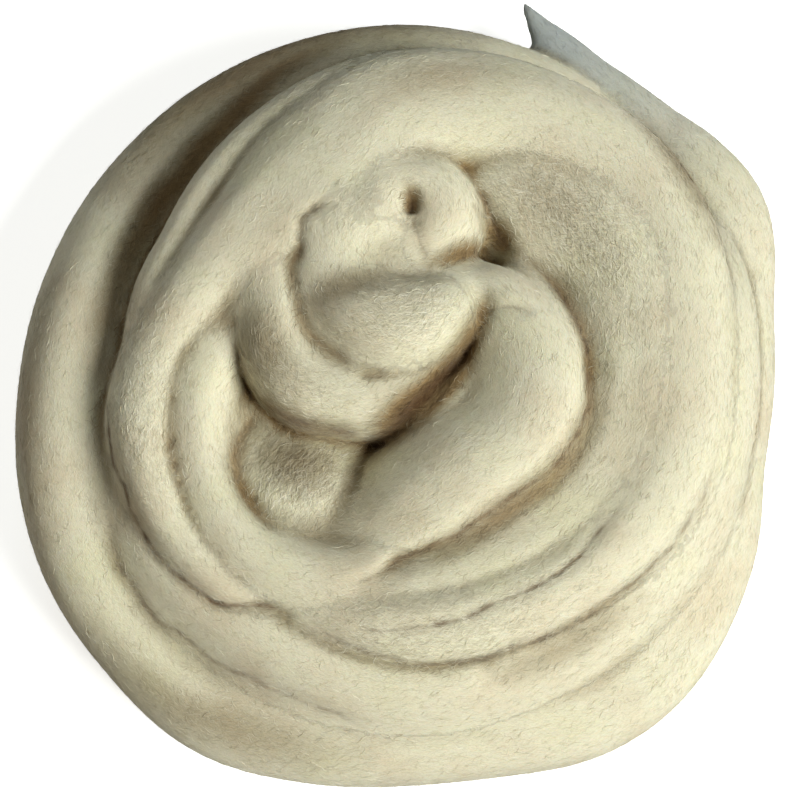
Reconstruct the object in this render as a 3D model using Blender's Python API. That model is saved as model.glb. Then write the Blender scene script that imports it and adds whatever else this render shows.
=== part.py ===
"""Wool roving: one long, thick, unspun strand of combed wool, wound in a round heap and curled up in its middle.

The strand is swept along its passes, from the loose end of the outer turn to the curls on top, and the passes are
fused into one solid that lies flat where it rests.

Places are given as on a clock face seen from above: 12 is at the back (+Y), 3 at the right (+X), and the hours count
on past 12 where a pass goes on round. Distances in the tables are in millimetres.
"""

import math
from typing import NamedTuple

import bmesh
import bpy
from mathutils import Vector

MM = 0.001
UP = Vector((0, 0, 1))
DEGREES_PER_HOUR = 30

PRESSED = 3.0  # depth to which the lowest turns are pressed flat, in millimetres
STATION_STEP = 5.0  # spacing of the cross-sections along a pass, in millimetres
SECTION_SIDES = 28  # points round a cross-section
SECTION_POWER = 2.25  # 2 makes an ellipse, more makes a fuller section
END_RINGS = 4  # rings that round off each end of a pass
END_SHARE = 0.92  # share of the quarter circle that those rings cover

FUSE_GRAIN = 2.4  # voxel size of the fusing, in millimetres
SMOOTHING_ROUNDS = 3
TRIANGLES_KEPT = 0.155  # share of the fused triangles
CUT_TOLERANCE = 0.05  # points this near the cut are on it, in millimetres

CREAM = (0.82, 0.76, 0.60, 1.0)
WOOL_ROUGHNESS = 0.9


class Section(NamedTuple):
    """A cross-section of the strand, where it stands on a pass."""

    clock: float  # hours round the centre of the pass
    reach: float  # from the centre of the pass to the middle of the section
    height: float  # of the middle of the section
    width: float  # across the strand
    thick: float  # through the strand
    lean: float  # degrees by which the outer edge stands higher than the inner one


class Pass(NamedTuple):
    """A stretch of the strand that bends round one centre."""

    name: str
    centre: tuple  # to the right and to the back of the heap's axis
    sections: tuple


AXIS = (0, 0)

PASSES = (
    # The outer turn, from its wispy loose end at the back right, all the way round and on under the back again.
    Pass("outer_turn", AXIS, (
        Section(0.58, 142, 27, 3, 3, 0),
        Section(0.68, 136, 26, 9, 7, 0),
        Section(0.82, 130, 25, 16, 12, 0),
        Section(1.05, 124, 23, 22, 20, 0),
        Section(1.45, 121, 20, 30, 28, 0),
        Section(1.75, 122, 20, 34, 32, 0),
        Section(2.05, 121, 20, 36, 34, 0),
        Section(2.5, 109, 20, 38, 36, 0),
        Section(3.0, 104, 20, 38, 38, 0),
        Section(3.5, 103, 20, 38, 38, 0),
        Section(4.0, 109, 20, 39, 38, 0),
        Section(4.6, 115, 20, 40, 38, 0),
        Section(5.0, 115, 20, 40, 38, 0),
        Section(5.5, 110, 20, 40, 38, 0),
        Section(6.0, 109, 20, 40, 38, 0),
        Section(6.5, 111, 20, 40, 38, 0),
        Section(7.0, 114, 20, 40, 38, 0),
        Section(7.5, 112, 22, 40, 42, 0),
        Section(8.0, 110, 24, 41, 46, 0),
        Section(9.0, 104, 26, 41, 50, 0),
        Section(10.0, 103, 23, 41, 44, 0),
        Section(11.0, 106, 22, 40, 42, 0),
        Section(12.0, 109, 22, 38, 42, 0),
        Section(12.7, 109, 21, 36, 40, 0),
        Section(13.5, 109, 18, 34, 34, 0),
        Section(14.3, 105, 15, 30, 26, 0),
    )),
    # The second turn comes up inside it at the right, shows along the front and dives under the left.
    Pass("second_turn", AXIS, (
        Section(2.2, 107, 33, 22, 26, 0),
        Section(2.6, 103, 37, 29, 32, 0),
        Section(3.0, 99, 39, 33, 34, 0),
        Section(4.0, 98, 40, 34, 34, 0),
        Section(5.0, 95, 40, 34, 34, 0),
        Section(6.0, 96, 40, 34, 34, 0),
        Section(7.0, 92, 40, 34, 34, 0),
        Section(7.6, 93, 38, 31, 34, 0),
        Section(8.1, 92, 33, 26, 32, 0),
        Section(8.6, 89, 27, 22, 28, 0),
    )),
    # The third turn goes all the way round, from its tail at the front left to where it ends under that tail.
    Pass("third_turn", AXIS, (
        Section(6.85, 87, 56, 5, 6, 0),
        Section(7.2, 88, 54, 12, 16, 0),
        Section(7.6, 87, 51, 18, 26, 0),
        Section(8.0, 86, 49, 22, 34, 0),
        Section(8.5, 82, 47, 26, 38, 0),
        Section(9.0, 75, 46, 28, 40, 0),
        Section(9.5, 67, 48, 32, 44, -2),
        Section(10.0, 60, 50, 42, 46, -4),
        Section(10.5, 56, 52, 52, 47, -6),
        Section(11.0, 58, 53, 58, 48, -9),
        Section(11.5, 66, 53, 58, 47, -10),
        Section(12.0, 78, 51, 54, 45, -12),
        Section(13.0, 89, 50, 42, 44, -10),
        Section(14.0, 94, 49, 34, 44, -4),
        Section(15.0, 90, 50, 29, 42, 0),
        Section(16.0, 90, 50, 29, 42, 0),
        Section(17.0, 84, 49, 27, 40, 0),
        Section(18.0, 83, 48, 26, 38, 0),
        Section(18.6, 82, 45, 22, 32, 0),
        Section(19.2, 80, 40, 18, 26, 0),
    )),
    # A fold of it that lies along its outer side at the back left.
    Pass("side_fold", AXIS, (
        Section(8.9, 84, 45, 8, 24, 0),
        Section(9.2, 82, 45, 12, 32, 0),
        Section(9.6, 80, 45, 17, 36, 0),
        Section(10.0, 79, 45, 19, 38, 0),
        Section(10.5, 82, 45, 21, 38, 0),
        Section(11.0, 86, 45, 22, 38, 0),
        Section(11.5, 92, 45, 20, 38, 0),
        Section(12.0, 99, 44, 16, 34, 0),
        Section(12.4, 102, 43, 10, 28, 0),
    )),
    # The fourth turn starts low under the head, slopes to the middle at the right and sinks in at the left.
    Pass("fourth_turn", AXIS, (
        Section(0.2, 73, 43, 20, 28, 0),
        Section(0.9, 70, 48, 38, 36, 12),
        Section(1.6, 70, 50, 50, 38, 16),
        Section(2.2, 73, 50, 56, 39, 15),
        Section(3.0, 73, 50, 50, 39, 4),
        Section(3.6, 74, 49, 42, 38, -2),
        Section(4.2, 75, 48, 36, 38, 0),
        Section(5.0, 72, 48, 31, 38, 4),
        Section(6.0, 72, 47, 30, 38, 4),
        Section(7.0, 76, 46, 26, 38, 0),
        Section(7.5, 76, 46, 24, 38, 0),
        Section(8.0, 72, 46, 23, 38, 0),
        Section(8.5, 66, 47, 22, 38, 0),
        Section(9.0, 59, 47, 22, 38, 0),
        Section(9.6, 51, 48, 22, 36, 0),
        Section(10.2, 46, 47, 20, 32, 0),
    )),
    # The curl on top of it, from under the tongue round the right and down into the fan.
    Pass("curl", (8, -14), (
        Section(0.3, 33, 52, 20, 24, 0),
        Section(1.0, 38, 58, 24, 30, 0),
        Section(2.0, 35, 60, 34, 34, 12),
        Section(3.0, 32, 61, 38, 36, 16),
        Section(4.0, 29, 61, 40, 36, 18),
        Section(5.0, 25, 59, 41, 36, 18),
        Section(6.0, 30, 55, 40, 34, 12),
        Section(6.6, 37, 49, 38, 30, 6),
        Section(7.1, 42, 42, 34, 26, 0),
        Section(7.6, 47, 34, 28, 22, 0),
    )),
    # The fan: a flattened stretch that comes out from under the outer fold and sinks under the fourth turn.
    Pass("fan", (0, -58), (
        Section(12.0, 44, 35, 38, 32, -6),
        Section(11.2, 41, 38, 52, 34, -10),
        Section(10.4, 41, 39, 60, 35, -10),
        Section(9.6, 42, 39, 60, 34, -8),
        Section(8.9, 41, 37, 52, 30, -6),
        Section(8.2, 38, 34, 42, 26, 0),
    )),
    # The outer fold wraps round the left of the tongue and ends low under its right side.
    Pass("outer_fold", (0, 22), (
        Section(10.4, 36, 52, 22, 28, -10),
        Section(9.5, 36, 56, 25, 32, -16),
        Section(9.0, 36, 57, 27, 34, -20),
        Section(8.5, 37, 58, 28, 34, -20),
        Section(8.0, 41, 58, 28, 34, -18),
        Section(7.5, 42, 58, 28, 34, -14),
        Section(7.0, 39, 58, 27, 34, -10),
        Section(6.5, 36, 58, 26, 34, -6),
        Section(6.0, 30, 58, 26, 34, -4),
        Section(5.5, 24, 58, 25, 32, 0),
        Section(5.0, 20, 57, 24, 30, 0),
        Section(4.4, 17, 55, 22, 28, 0),
    )),
    # The tongue bulges over that fold.
    Pass("tongue", (0, 22), (
        Section(11.4, 26, 60, 32, 34, -8),
        Section(10.4, 24, 61, 34, 35, -12),
        Section(9.4, 20, 61, 30, 34, -14),
        Section(8.6, 20, 61, 28, 33, -6),
        Section(7.8, 18, 63, 31, 35, 4),
        Section(7.0, 17, 65, 32, 37, 12),
        Section(6.0, 17, 66, 32, 37, 14),
        Section(5.0, 16, 66, 29, 36, 12),
        Section(4.2, 17, 66, 24, 32, 6),
    )),
    # The head is the end of the strand, curled round its dimple.
    Pass("head", (2, 43), (
        Section(8.4, 11, 61, 26, 34, 0),
        Section(10.0, 11, 61, 27, 34, 0),
        Section(12.0, 11, 60, 26, 34, 0),
        Section(14.0, 11, 60, 27, 34, 0),
        Section(16.0, 11, 60, 25, 34, 0),
        Section(17.4, 10, 60, 22, 32, 0),
    )),
    # Hidden turns, which carry the rest.
    Pass("bed", AXIS, (
        Section(0, 6, 40, 46, 38, 0),
        Section(3, 22, 40, 50, 38, 0),
        Section(6, 32, 37, 52, 36, 0),
        Section(9, 44, 35, 46, 36, 0),
        Section(12, 52, 34, 44, 36, 0),
        Section(15, 58, 32, 44, 34, 0),
        Section(18, 62, 32, 44, 34, 0),
    )),
    Pass("core", AXIS, (
        Section(0, 4, 20, 40, 42, 0),
        Section(3, 22, 20, 44, 42, 0),
        Section(6, 34, 20, 44, 42, 0),
        Section(9, 44, 20, 44, 42, 0),
        Section(12, 54, 20, 46, 42, 0),
        Section(15, 64, 20, 46, 42, 0),
        Section(18, 72, 20, 46, 42, 0),
        Section(21, 78, 20, 46, 42, 0),
        Section(24, 82, 20, 46, 42, 0),
    )),
)


class Ring(NamedTuple):
    """A cross-section in space, ready for its points."""

    middle: Vector
    ahead: Vector
    side: Vector  # half the width, towards the outer edge
    top: Vector  # half the thickness, upwards


def spline(before, start, end, after, share):
    """A smooth value between start and end, by the values on either side of them."""
    linear = end - before
    square = 2 * before - 5 * start + 4 * end - after
    cube = 3 * start - before - 3 * end + after
    return start + (linear * share + square * share**2 + cube * share**3) / 2


def middle_of(strand_pass, section):
    """The middle of a section, in millimetres."""
    angle = math.radians(DEGREES_PER_HOUR * section.clock)
    right, back = strand_pass.centre
    return Vector((
        right + section.reach * math.sin(angle),
        back + section.reach * math.cos(angle),
        section.height,
    ))


def stations(strand_pass):
    """Sections about a STATION_STEP apart, read from a smooth curve through the table of a pass."""
    rows = strand_pass.sections
    last = len(rows) - 1
    found = []
    for i in range(last):
        nearby = [rows[min(max(k, 0), last)] for k in (i - 1, i, i + 1, i + 2)]
        span = (middle_of(strand_pass, rows[i + 1]) - middle_of(strand_pass, rows[i])).length
        count = max(1, round(span / STATION_STEP))
        for k in range(count):
            found.append(Section(*(spline(*values, k / count) for values in zip(*nearby))))
    return found + [rows[last]]


def upright_ring(strand_pass, section, middle, ahead):
    """The ring of a section, square to the way ahead and leaning as its table says."""
    outward = ahead.cross(UP).normalized()
    right, back = strand_pass.centre
    if outward.dot(middle - Vector((right, back, middle.z))) < 0:
        outward.negate()
    up = outward.cross(ahead).normalized()
    if up.z < 0:
        up.negate()
    lean = math.radians(section.lean)
    side = outward * math.cos(lean) + up * math.sin(lean)
    top = up * math.cos(lean) - outward * math.sin(lean)
    return Ring(middle, ahead, side * (section.width / 2), top * (section.thick / 2))


def rounded_end(ring, sense):
    """Rings that shrink away from the last one of a pass, in order."""
    depth = min(ring.side.length, ring.top.length)
    rings = []
    for k in range(1, END_RINGS + 1):
        angle = math.pi / 2 * END_SHARE * k / END_RINGS
        middle = ring.middle + ring.ahead * (sense * depth * math.sin(angle))
        rings.append(Ring(middle, ring.ahead, ring.side * math.cos(angle), ring.top * math.cos(angle)))
    return rings


def rings_of(strand_pass):
    """The rings of a whole pass, with its two round ends."""
    line = stations(strand_pass)
    middles = [middle_of(strand_pass, section) for section in line]
    last = len(line) - 1
    rings = []
    for i, section in enumerate(line):
        ahead = (middles[min(i + 1, last)] - middles[max(i - 1, 0)]).normalized()
        rings.append(upright_ring(strand_pass, section, middles[i], ahead))
    return rounded_end(rings[0], -1)[::-1] + rings + rounded_end(rings[-1], 1)


def ring_point(ring, turn):
    """A point of a ring, in millimetres, at a share of a turn round it."""
    angle = 2 * math.pi * turn
    power = 2 / SECTION_POWER
    across = math.copysign(abs(math.cos(angle)) ** power, math.cos(angle))
    through = math.copysign(abs(math.sin(angle)) ** power, math.sin(angle))
    return ring.middle + ring.side * across + ring.top * through


def add_pass(bm, strand_pass):
    """Adds the closed skin of one pass to the mesh."""
    skin = [
        [bm.verts.new(ring_point(ring, k / SECTION_SIDES) * MM) for k in range(SECTION_SIDES)]
        for ring in rings_of(strand_pass)
    ]
    for first, second in zip(skin, skin[1:]):
        for k in range(SECTION_SIDES):
            after = (k + 1) % SECTION_SIDES
            bm.faces.new((first[k], first[after], second[after], second[k]))
    bm.faces.new(skin[0][::-1])
    bm.faces.new(skin[-1])


def wound_strand():
    """All passes of the strand in one mesh, where each still has its own closed skin."""
    bm = bmesh.new()
    for strand_pass in PASSES:
        add_pass(bm, strand_pass)
    bmesh.ops.recalc_face_normals(bm, faces=bm.faces)
    mesh = bpy.data.meshes.new("wound_strand")
    bm.to_mesh(mesh)
    bm.free()
    return mesh


def fused(mesh):
    """A mesh of the passes fused into one skin, smoothed and then thinned out."""
    strand = bpy.data.objects.new("strand", mesh)
    bpy.context.scene.collection.objects.link(strand)

    fuse = strand.modifiers.new("fuse", "REMESH")
    fuse.mode = "VOXEL"
    fuse.voxel_size = FUSE_GRAIN * MM

    soften = strand.modifiers.new("soften", "SMOOTH")
    soften.iterations = SMOOTHING_ROUNDS

    thin = strand.modifiers.new("thin", "DECIMATE")
    thin.ratio = TRIANGLES_KEPT

    evaluated = strand.evaluated_get(bpy.context.evaluated_depsgraph_get())
    result = bpy.data.meshes.new_from_object(evaluated)
    bpy.data.objects.remove(strand)
    return result


def connected_pieces(bm):
    """Sets of connected points, the smallest first."""
    pieces = []
    unseen = set(bm.verts)
    while unseen:
        start = unseen.pop()
        piece = {start}
        front = [start]
        while front:
            vert = front.pop()
            fresh = {edge.other_vert(vert) for edge in vert.link_edges} - piece
            piece |= fresh
            front.extend(fresh)
        unseen -= piece
        pieces.append(piece)
    return sorted(pieces, key=len)


def fill_pockets(bm):
    """Removes the skins of air pockets between the turns, so that the outer skin encloses solid wool."""
    pockets = [vert for piece in connected_pieces(bm)[:-1] for vert in piece]
    bmesh.ops.delete(bm, geom=pockets, context="VERTS")


def press_flat(bm):
    """Cuts the skin off level where it rests and closes it with a flat base."""
    cut = bmesh.ops.bisect_plane(
        bm,
        geom=bm.verts[:] + bm.edges[:] + bm.faces[:],
        dist=CUT_TOLERANCE * MM,
        plane_co=(0, 0, PRESSED * MM),
        plane_no=(0, 0, -1),
        clear_outer=True,
    )
    rim = [edge for edge in cut["geom_cut"] if isinstance(edge, bmesh.types.BMEdge)]
    bmesh.ops.triangle_fill(bm, edges=rim, use_beauty=True, normal=(0, 0, -1))
    bmesh.ops.triangulate(bm, faces=bm.faces)
    bmesh.ops.recalc_face_normals(bm, faces=bm.faces)


def centre_on_base(bm):
    """Puts the middle of the base at the origin."""
    rights = [vert.co.x for vert in bm.verts]
    backs = [vert.co.y for vert in bm.verts]
    middle = Vector((
        (min(rights) + max(rights)) / 2,
        (min(backs) + max(backs)) / 2,
        PRESSED * MM,
    ))
    bmesh.ops.translate(bm, verts=bm.verts, vec=-middle)


def wool():
    """The material of the strand: cream, dull, combed wool."""
    material = bpy.data.materials.new("wool")
    material.use_nodes = True
    shader = material.node_tree.nodes["Principled BSDF"]
    shader.inputs["Base Color"].default_value = CREAM
    shader.inputs["Roughness"].default_value = WOOL_ROUGHNESS
    shader.inputs["Metallic"].default_value = 0.0
    return material


def make_roving():
    """The whole heap as one object."""
    mesh = fused(wound_strand())
    mesh.name = "roving"
    bm = bmesh.new()
    bm.from_mesh(mesh)
    fill_pockets(bm)
    press_flat(bm)
    centre_on_base(bm)
    bm.to_mesh(mesh)
    bm.free()
    mesh.materials.append(wool())
    mesh.shade_smooth()
    roving = bpy.data.objects.new("roving", mesh)
    bpy.context.scene.collection.objects.link(roving)
    return roving


def clear_scene():
    """Removes whatever the scene held."""
    for other in list(bpy.data.objects):
        bpy.data.objects.remove(other)


def main():
    clear_scene()
    make_roving()


if __name__ == "__main__":
    main()
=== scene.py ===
"""The looks of the wool roving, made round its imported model.

The strand is swept again along its passes, finer than in the model, and fused into one skin. Where two
passes have felted together the skin is softened, and where a crease shows it is drawn in. Every point of
the skin knows where it lies on the strand: how far along it and how far round it. The relief of the skin,
its colours and the fibres that lie on it all follow the strand from that.

Distances are in millimetres. The tables of the passes are as on a clock face seen from above, 12 at the
back and 3 at the right. The other places are in the row frame, with +X to the right and +Y to the back.
"""

import math
from typing import NamedTuple

import bmesh
import bpy
import numpy as np
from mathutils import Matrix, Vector, noise
from mathutils.bvhtree import BVHTree
from mathutils.kdtree import KDTree

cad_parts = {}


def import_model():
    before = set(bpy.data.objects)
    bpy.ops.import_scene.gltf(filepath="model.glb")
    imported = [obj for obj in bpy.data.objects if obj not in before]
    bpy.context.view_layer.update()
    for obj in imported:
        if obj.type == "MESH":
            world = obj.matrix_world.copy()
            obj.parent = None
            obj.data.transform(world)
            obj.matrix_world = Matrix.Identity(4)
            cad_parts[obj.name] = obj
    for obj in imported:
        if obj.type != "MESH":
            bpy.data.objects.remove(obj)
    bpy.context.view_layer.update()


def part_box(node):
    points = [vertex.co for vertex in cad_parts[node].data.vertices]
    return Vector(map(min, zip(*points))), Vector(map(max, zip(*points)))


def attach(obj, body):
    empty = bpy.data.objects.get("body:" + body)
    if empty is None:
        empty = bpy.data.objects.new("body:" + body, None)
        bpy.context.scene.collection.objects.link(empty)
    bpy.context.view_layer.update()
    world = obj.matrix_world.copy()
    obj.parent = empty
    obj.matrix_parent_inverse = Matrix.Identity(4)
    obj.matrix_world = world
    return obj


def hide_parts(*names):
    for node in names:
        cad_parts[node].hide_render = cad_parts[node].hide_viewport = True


NODE = "roving"
BODY = "root"

MM = 0.001
UP = np.array((0.0, 0.0, 1.0))
TINY = 1e-9
DEGREES_PER_HOUR = 30
SEED = 20

# The sweep and the skin
PRESSED = 3.0  # depth to which the lowest turns are pressed flat
STATION_STEP = 2.5  # spacing of the cross-sections along a pass
SECTION_SIDES = 48  # points round a cross-section
SECTION_POWER = 2.25  # 2 makes an ellipse, more makes a fuller section
END_RINGS = 4  # rings that round off each end of a pass
END_SHARE = 0.92  # share of the quarter circle that those rings cover
SKIN_GRAIN = 1.5  # voxel size of the skin
SMOOTHING_ROUNDS = 5
LAST_ROUNDS = 2  # once all relief is on the skin


class Section(NamedTuple):
    """A cross-section of the strand, where it stands on a pass."""

    clock: float  # hours round the centre of the pass
    reach: float  # from the centre of the pass to the middle of the section
    height: float  # of the middle of the section
    width: float  # across the strand
    thick: float  # through the strand
    lean: float = 0  # degrees by which the outer edge stands higher than the inner one


class Pass(NamedTuple):
    """A stretch of the strand that bends round one centre."""

    name: str
    centre: tuple  # to the right and to the back of the heap's axis
    sections: tuple


AXIS = (0, 0)

PASSES = (
    # The outer turn, from its wispy loose end at the back right, all the way round and on under the back.
    Pass("outer_turn", AXIS, (
        Section(0.58, 142, 27, 3, 3),
        Section(0.68, 136, 26, 9, 7),
        Section(0.82, 130, 25, 16, 12),
        Section(1.05, 124, 23, 22, 20),
        Section(1.45, 121, 20, 30, 28),
        Section(1.75, 122, 20, 34, 32),
        Section(2.05, 121, 20, 36, 34),
        Section(2.5, 109, 20, 38, 36),
        Section(3.0, 104, 20, 38, 38),
        Section(3.5, 103, 20, 38, 38),
        Section(4.0, 109, 20, 39, 38),
        Section(4.6, 115, 20, 40, 38),
        Section(5.0, 115, 20, 40, 38),
        Section(5.5, 110, 20, 40, 38),
        Section(6.0, 109, 20, 40, 38),
        Section(6.5, 111, 20, 40, 38),
        Section(7.0, 114, 20, 40, 38),
        Section(7.5, 112, 22, 40, 42),
        Section(8.0, 110, 24, 41, 46),
        Section(9.0, 104, 26, 41, 50),
        Section(10.0, 103, 23, 41, 44),
        Section(11.0, 106, 22, 40, 42),
        Section(12.0, 109, 22, 38, 42),
        Section(12.7, 109, 21, 36, 40),
        Section(13.5, 109, 18, 34, 34),
        Section(14.3, 105, 15, 30, 26),
    )),
    # The second turn comes up inside it at the right, shows along the front and dives under the left.
    Pass("second_turn", AXIS, (
        Section(2.2, 107, 33, 22, 26),
        Section(2.6, 103, 37, 29, 32),
        Section(3.0, 99, 39, 33, 34),
        Section(4.0, 98, 40, 34, 34),
        Section(5.0, 95, 40, 34, 34),
        Section(6.0, 96, 40, 34, 34),
        Section(7.0, 92, 40, 34, 34),
        Section(7.6, 93, 38, 31, 34),
        Section(8.1, 92, 33, 26, 32),
        Section(8.6, 89, 27, 22, 28),
    )),
    # The third turn goes all the way round, from its tail at the front left to its end under that tail.
    Pass("third_turn", AXIS, (
        Section(6.85, 87, 56, 5, 6),
        Section(7.2, 88, 54, 12, 16),
        Section(7.6, 87, 51, 18, 26),
        Section(8.0, 86, 49, 22, 34),
        Section(8.5, 82, 47, 26, 38),
        Section(9.0, 75, 46, 28, 40),
        Section(9.5, 67, 48, 32, 44, -2),
        Section(10.0, 60, 50, 42, 46, -4),
        Section(10.5, 56, 52, 52, 47, -6),
        Section(11.0, 58, 53, 58, 48, -9),
        Section(11.5, 66, 53, 58, 47, -10),
        Section(12.0, 78, 51, 54, 45, -12),
        Section(13.0, 89, 50, 42, 44, -10),
        Section(14.0, 94, 49, 34, 44, -4),
        Section(15.0, 90, 50, 29, 42),
        Section(16.0, 90, 50, 29, 42),
        Section(17.0, 84, 49, 27, 40),
        Section(18.0, 83, 48, 26, 38),
        Section(18.6, 82, 45, 22, 32),
        Section(19.2, 80, 40, 18, 26),
    )),
    # A fold of it that lies along its outer side at the back left.
    Pass("side_fold", AXIS, (
        Section(8.9, 84, 45, 8, 24),
        Section(9.2, 82, 45, 12, 32),
        Section(9.6, 80, 45, 17, 36),
        Section(10.0, 79, 45, 19, 38),
        Section(10.5, 82, 45, 21, 38),
        Section(11.0, 86, 45, 22, 38),
        Section(11.5, 92, 45, 20, 38),
        Section(12.0, 99, 44, 16, 34),
        Section(12.4, 102, 43, 10, 28),
    )),
    # The fourth turn starts low under the head, slopes to the middle at the right and sinks in at the left.
    Pass("fourth_turn", AXIS, (
        Section(0.2, 73, 43, 20, 28),
        Section(0.9, 70, 48, 38, 36, 12),
        Section(1.6, 70, 50, 50, 38, 16),
        Section(2.2, 73, 50, 56, 39, 15),
        Section(3.0, 73, 50, 50, 39, 4),
        Section(3.6, 74, 49, 42, 38, -2),
        Section(4.2, 75, 48, 36, 38),
        Section(5.0, 72, 48, 31, 38, 4),
        Section(6.0, 72, 47, 30, 38, 4),
        Section(7.0, 76, 46, 26, 38),
        Section(7.5, 76, 46, 24, 38),
        Section(8.0, 72, 46, 23, 38),
        Section(8.5, 66, 47, 22, 38),
        Section(9.0, 59, 47, 22, 38),
        Section(9.6, 51, 48, 22, 36),
        Section(10.2, 46, 47, 20, 32),
    )),
    # The curl on top of it, from under the tongue round the right and down into the fan.
    Pass("curl", (8, -14), (
        Section(0.3, 33, 52, 20, 24),
        Section(1.0, 38, 58, 24, 30),
        Section(2.0, 35, 60, 34, 34, 12),
        Section(3.0, 32, 61, 38, 36, 16),
        Section(4.0, 29, 61, 40, 36, 18),
        Section(5.0, 25, 59, 41, 36, 18),
        Section(6.0, 30, 55, 40, 34, 12),
        Section(6.6, 37, 49, 38, 30, 6),
        Section(7.1, 42, 42, 34, 26),
        Section(7.6, 47, 34, 28, 22),
    )),
    # The fan: a flattened stretch that comes out from under the outer fold and sinks under the fourth turn.
    Pass("fan", (0, -58), (
        Section(12.0, 44, 35, 38, 32, -6),
        Section(11.2, 41, 38, 52, 34, -10),
        Section(10.4, 41, 39, 60, 35, -10),
        Section(9.6, 42, 39, 60, 34, -8),
        Section(8.9, 41, 37, 52, 30, -6),
        Section(8.2, 38, 34, 42, 26),
    )),
    # The outer fold wraps round the left of the tongue and ends low under its right side.
    Pass("outer_fold", (0, 22), (
        Section(10.4, 36, 52, 22, 28, -10),
        Section(9.5, 36, 56, 25, 32, -16),
        Section(9.0, 36, 57, 27, 34, -20),
        Section(8.5, 37, 58, 28, 34, -20),
        Section(8.0, 41, 58, 28, 34, -18),
        Section(7.5, 42, 58, 28, 34, -14),
        Section(7.0, 39, 58, 27, 34, -10),
        Section(6.5, 36, 58, 26, 34, -6),
        Section(6.0, 30, 58, 26, 34, -4),
        Section(5.5, 24, 58, 25, 32),
        Section(5.0, 20, 57, 24, 30),
        Section(4.4, 17, 55, 22, 28),
    )),
    # The tongue bulges over that fold.
    Pass("tongue", (0, 22), (
        Section(11.4, 26, 60, 32, 34, -8),
        Section(10.4, 24, 61, 34, 35, -12),
        Section(9.4, 20, 61, 30, 34, -14),
        Section(8.6, 20, 61, 28, 33, -6),
        Section(7.8, 18, 63, 31, 35, 4),
        Section(7.0, 17, 65, 32, 37, 12),
        Section(6.0, 17, 66, 32, 37, 14),
        Section(5.0, 16, 66, 29, 36, 12),
        Section(4.2, 17, 66, 24, 32, 6),
    )),
    # The head is the end of the strand, curled round its dimple.
    Pass("head", (2, 43), (
        Section(8.4, 11, 61, 26, 34),
        Section(10.0, 11, 61, 27, 34),
        Section(12.0, 11, 60, 26, 34),
        Section(14.0, 11, 60, 27, 34),
        Section(16.0, 11, 60, 25, 34),
        Section(17.4, 10, 60, 22, 32),
    )),
    # Hidden turns, which carry the rest.
    Pass("bed", AXIS, (
        Section(0, 6, 40, 46, 38),
        Section(3, 22, 40, 50, 38),
        Section(6, 32, 37, 52, 36),
        Section(9, 44, 35, 46, 36),
        Section(12, 52, 34, 44, 36),
        Section(15, 58, 32, 44, 34),
        Section(18, 62, 32, 44, 34),
    )),
    Pass("core", AXIS, (
        Section(0, 4, 20, 40, 42),
        Section(3, 22, 20, 44, 42),
        Section(6, 34, 20, 44, 42),
        Section(9, 44, 20, 44, 42),
        Section(12, 54, 20, 46, 42),
        Section(15, 64, 20, 46, 42),
        Section(18, 72, 20, 46, 42),
        Section(21, 78, 20, 46, 42),
        Section(24, 82, 20, 46, 42),
    )),
)


class Line(NamedTuple):
    """A line on top of the heap, along which the skin is filled, softened, given painted shade or
    roughened.
    """

    name: str
    places: tuple  # to the right and to the back
    width: float
    amount: float  # smoothing rounds, a height, or a share from 0 to 1


class Seam(NamedTuple):
    """A line on top of the heap where one fold of wool lies against another, drawn in and painted dark as
    the shade in its crease.
    """

    name: str
    places: tuple  # to the right and to the back
    left: float  # width of the groove on the left of the way along the line
    right: float
    depth: float
    painted_shade: float  # how dark the painted shade on the seam itself is, from 0 to 1


# Where a deep gap between two passes is filled up to a height.
FILLED = (
    Line("tongue_and_curl", ((23, -6), (20, -11), (17, -15), (13, -19), (9, -23)), 4.5, 66),
    Line("head_and_tongue", ((-8, 22), (1, 21), (10, 21)), 4.5, 71),
)

# Where two passes have felted together, and no groove shows between them.
SOFTENED = (
    Line("outer_and_second_turn", (
        (-92, -37), (-87, -53), (-80, -69), (-70, -84), (-56, -96), (-43, -105), (-22, -113), (0, -118),
        (15, -117), (46, -107), (61, -98), (78, -85), (94, -65), (106, -43), (109, -28),
    ), 9, 110),
    Line("third_and_fourth_turn", ((12, 64), (34, 68), (59, 55), (79, 37)), 7, 30),
    Line("third_and_fourth_turn_right", ((82, 30), (88, 8), (88, -22), (84, -40), (74, -54)), 12, 170),
    Line("head_and_third_turn", ((-48, 22), (-40, 32), (-29, 44), (-16, 55), (-2, 61)), 7, 90),
    Line("head_and_tongue", ((-24, 18), (-6, 21), (6, 22), (14, 22)), 8, 90),
    Line("fan_and_curl", ((-36, -58), (-22, -64), (-6, -62), (6, -54)), 8, 80),
    Line("fan_corner", ((-52, -15), (-50, -25), (-48, -35)), 6, 60),
    Line("fold_and_third_turn", ((-46, 4), (-48, 14), (-46, 24)), 5, 60),
    Line("curl_and_fourth_turn", ((30, 32), (42, 26), (52, 12), (57, -2)), 6, 60),
    Line("dimple", ((2, 45), (1, 37)), 5, 60),
    Line("curl_and_tongue", ((23, -6), (20, -11), (17, -15), (13, -19), (9, -23)), 5, 40),
    Line("folds", ((-30, 4), (-26, -2), (-20, -6), (-13, -11)), 4, 25),
    Line("curl_side", ((60, -18), (59, -27), (55, -40), (47, -47), (31, -56), (19, -62), (4, -68)), 5, 90),
)
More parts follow.
